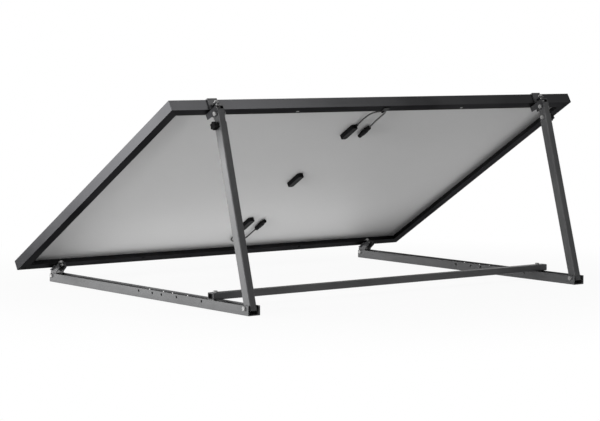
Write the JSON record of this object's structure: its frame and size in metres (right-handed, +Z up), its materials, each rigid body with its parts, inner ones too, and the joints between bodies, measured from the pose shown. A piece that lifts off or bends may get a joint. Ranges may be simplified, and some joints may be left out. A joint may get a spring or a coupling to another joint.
{
  "type": "solar ballast mount",
  "caption": "Tilting floor mount: open channel rails, a low crossbar, telescopic rear legs with locking knobs, and a framed solar module clamped on hinged brackets.",
  "frame": {"origin": "on the ground at the middle of the overall footprint", "axes": "+X along the module's long side, +Y from the high rear edge to the low front edge, +Z up"},
  "size_m": [1.722, 1.206, 0.6644],
  "materials": {
    "black_anodised_frame": "satin black anodised",
    "dark_anodised_aluminium": "satin dark anodised",
    "black_coated_bracket": "satin black coating",
    "solar_glass": "clear low-iron glass",
    "cell_laminate": "laminated cells",
    "grey_backsheet": "matte light grey sheet",
    "black_plastic": "fine-grained black plastic",
    "cable_rubber": "satin cable sheath",
    "plain_aluminium": "cut",
    "zinc_steel": "dull zinc plated"
  },
  "bodies": {
    "base": {"base_rail_left": "dark_anodised_aluminium", "base_rail_right": "dark_anodised_aluminium", "crossbar": "dark_anodised_aluminium", "crossbar_bolts": "zinc_steel", "crossbar_caps": "black_plastic", "crossbar_nuts": "zinc_steel", "foot_bolt_left": "zinc_steel", "foot_bolt_right": "zinc_steel", "foot_nut_left": "zinc_steel", "foot_nut_right": "zinc_steel", "hinge_bolt_left": "zinc_steel", "hinge_bolt_right": "zinc_steel", "hinge_nut_left": "zinc_steel", "hinge_nut_right": "zinc_steel", "hinge_sleeves": "zinc_steel", "pin_spacers_left": "black_plastic", "pin_spacers_right": "black_plastic"},
    "module": {"backsheet": "grey_backsheet", "cable_glands": "black_plastic", "cell_sheet": "cell_laminate", "connector_lower": "black_plastic", "connector_upper": "black_plastic", "corner_keys": "plain_aluminium", "flange_bolt_left": "zinc_steel", "flange_bolt_right": "zinc_steel", "flange_nut_left": "zinc_steel", "flange_nut_right": "zinc_steel", "flange_washers": "zinc_steel", "frame_bottom": "black_anodised_frame", "frame_left": "black_anodised_frame", "frame_right": "black_anodised_frame", "frame_top": "black_anodised_frame", "front_bracket_left": "black_coated_bracket", "front_bracket_right": "black_coated_bracket", "front_glass": "solar_glass", "hook_bolt_left": "zinc_steel", "hook_bolt_right": "zinc_steel", "hook_nut_left": "zinc_steel", "hook_nut_right": "zinc_steel", "junction_box_bodies": "black_plastic", "junction_box_lids": "black_plastic", "lead_clip": "black_plastic", "lead_lower": "cable_rubber", "lead_upper": "cable_rubber", "pivot_bolt_left": "zinc_steel", "pivot_bolt_right": "zinc_steel", "pivot_nut_left": "zinc_steel", "pivot_nut_right": "zinc_steel", "top_bracket_left": "black_coated_bracket", "top_bracket_right": "black_coated_bracket", "top_hook_left": "black_coated_bracket", "top_hook_right": "black_coated_bracket"},
    "leg_left": {"leg_outer_left": "dark_anodised_aluminium", "locking_bolt_left": "zinc_steel"},
    "slider_left": {"leg_inner_left": "dark_anodised_aluminium"},
    "knob_left": {"locking_knob_left": "black_plastic"},
    "leg_right": {"leg_outer_right": "dark_anodised_aluminium", "locking_bolt_right": "zinc_steel"},
    "slider_right": {"leg_inner_right": "dark_anodised_aluminium"},
    "knob_right": {"locking_knob_right": "black_plastic"}
  },
  "joints": [
    {"name": "tilt", "type": "hinge", "parent": "base", "child": "module", "pos_m": [0, 0.5831, 0.023], "axis": [-1, 0, 0], "range_deg": [0, 15]},
    {"name": "foot_left", "type": "hinge", "parent": "base", "child": "leg_left", "pos_m": [-0.7, -0.5829, 0.0215], "axis": [-1, 0, 0], "range_deg": [0, 7.5]},
    {"name": "extend_left", "type": "slide", "parent": "leg_left", "child": "slider_left", "axis": [0, 0.2671, 0.9637], "range_m": [0, 0.2895]},
    {"name": "knob_left", "type": "hinge", "parent": "leg_left", "child": "knob_left", "pos_m": [-0.72, -0.42824, 0.5795], "axis": [-1, 0, 0], "range_deg": [0, 360]},
    {"name": "foot_right", "type": "hinge", "parent": "base", "child": "leg_right", "pos_m": [0.7, -0.5829, 0.0215], "axis": [-1, 0, 0], "range_deg": [0, 7.5]},
    {"name": "extend_right", "type": "slide", "parent": "leg_right", "child": "slider_right", "axis": [0, 0.2671, 0.9637], "range_m": [0, 0.2895]},
    {"name": "knob_right", "type": "hinge", "parent": "leg_right", "child": "knob_right", "pos_m": [0.72, -0.42824, 0.5795], "axis": [1, 0, 0], "range_deg": [0, 360]}
  ],
  "couplings": [
    {"joint": "foot_left", "follows": "tilt", "ratio": 0.49565},
    {"joint": "extend_left", "follows": "tilt", "m_per_rad": 1.1041},
    {"joint": "foot_right", "follows": "tilt", "ratio": 0.49565},
    {"joint": "extend_right", "follows": "tilt", "m_per_rad": 1.1041}
  ]
}
